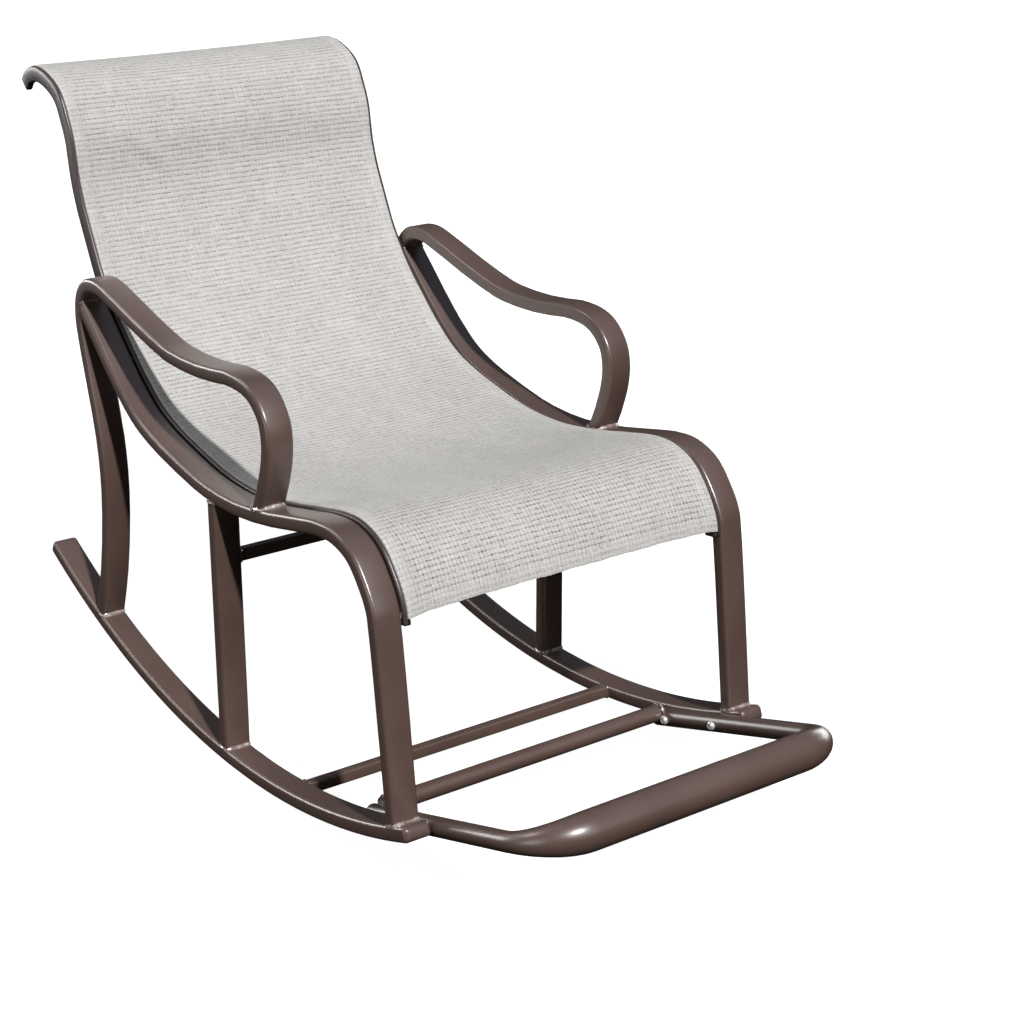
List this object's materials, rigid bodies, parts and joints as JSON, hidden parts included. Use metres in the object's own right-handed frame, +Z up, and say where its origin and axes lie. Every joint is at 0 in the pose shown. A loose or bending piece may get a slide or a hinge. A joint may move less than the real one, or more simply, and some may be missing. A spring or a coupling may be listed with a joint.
{
  "type": "rocking chaise lounge",
  "caption": "Outdoor rocking chaise with curved tube side frames on rockers, a woven sling from hooked head to front hem, looped arms and a round foot bar in front.",
  "frame": {"origin": "on the floor under the middle of the chair: centre of the bounding box's bottom face", "axes": "+Z up; -Y is the chair's front, where the foot bar is; +X is the chair's right side as seen from in front of it looking back (+Y)"},
  "size_m": [0.632, 1.3787, 0.9539],
  "materials": {
    "frame_coat": "satin bronze-brown powder coat on steel tube",
    "rail_coat": "charcoal-brown coated aluminium extrusion, satin",
    "sling_weave": "light grey vinyl-coated mesh, basket weave with dark grey specks",
    "spline_plastic": "dark extruded plastic rod",
    "plug_plastic": "dark brown moulded plastic",
    "bright_steel": "bright zinc-plated steel"
  },
  "bodies": {
    "root": {"back_spreader": "frame_coat", "foot_bar": "frame_coat", "foot_crossbar": "frame_coat", "front_spreader": "frame_coat", "head_spreader": "frame_coat", "left_foot_bar_plug": "plug_plastic", "left_foot_front_insert": "bright_steel", "left_foot_front_screw": "bright_steel", "left_foot_rear_insert": "bright_steel", "left_foot_rear_screw": "bright_steel", "left_front_leg_and_side_rail": "frame_coat", "left_mid_leg": "frame_coat", "left_rear_leg_and_arm": "frame_coat", "left_rocker": "frame_coat", "left_rocker_front_plug": "plug_plastic", "left_rocker_rear_plug": "plug_plastic", "left_sling_front_insert": "bright_steel", "left_sling_front_screw": "bright_steel", "left_sling_rail": "rail_coat", "left_sling_rail_front_cap": "plug_plastic", "left_sling_rail_head_cap": "plug_plastic", "left_sling_rear_insert": "bright_steel", "left_sling_rear_screw": "bright_steel", "left_sling_seat_insert": "bright_steel", "left_sling_seat_screw": "bright_steel", "left_sling_spline": "spline_plastic", "mid_crossbar": "frame_coat", "right_foot_bar_plug": "plug_plastic", "right_foot_front_insert": "bright_steel", "right_foot_front_screw": "bright_steel", "right_foot_rear_insert": "bright_steel", "right_foot_rear_screw": "bright_steel", "right_front_leg_and_side_rail": "frame_coat", "right_mid_leg": "frame_coat", "right_rear_leg_and_arm": "frame_coat", "right_rocker": "frame_coat", "right_rocker_front_plug": "plug_plastic", "right_rocker_rear_plug": "plug_plastic", "right_sling_front_insert": "bright_steel", "right_sling_front_screw": "bright_steel", "right_sling_rail": "rail_coat", "right_sling_rail_front_cap": "plug_plastic", "right_sling_rail_head_cap": "plug_plastic", "right_sling_rear_insert": "bright_steel", "right_sling_rear_screw": "bright_steel", "right_sling_seat_insert": "bright_steel", "right_sling_seat_screw": "bright_steel", "right_sling_spline": "spline_plastic", "rocker_crossbar": "frame_coat", "sling": "sling_weave"}
  },
  "joints": []
}
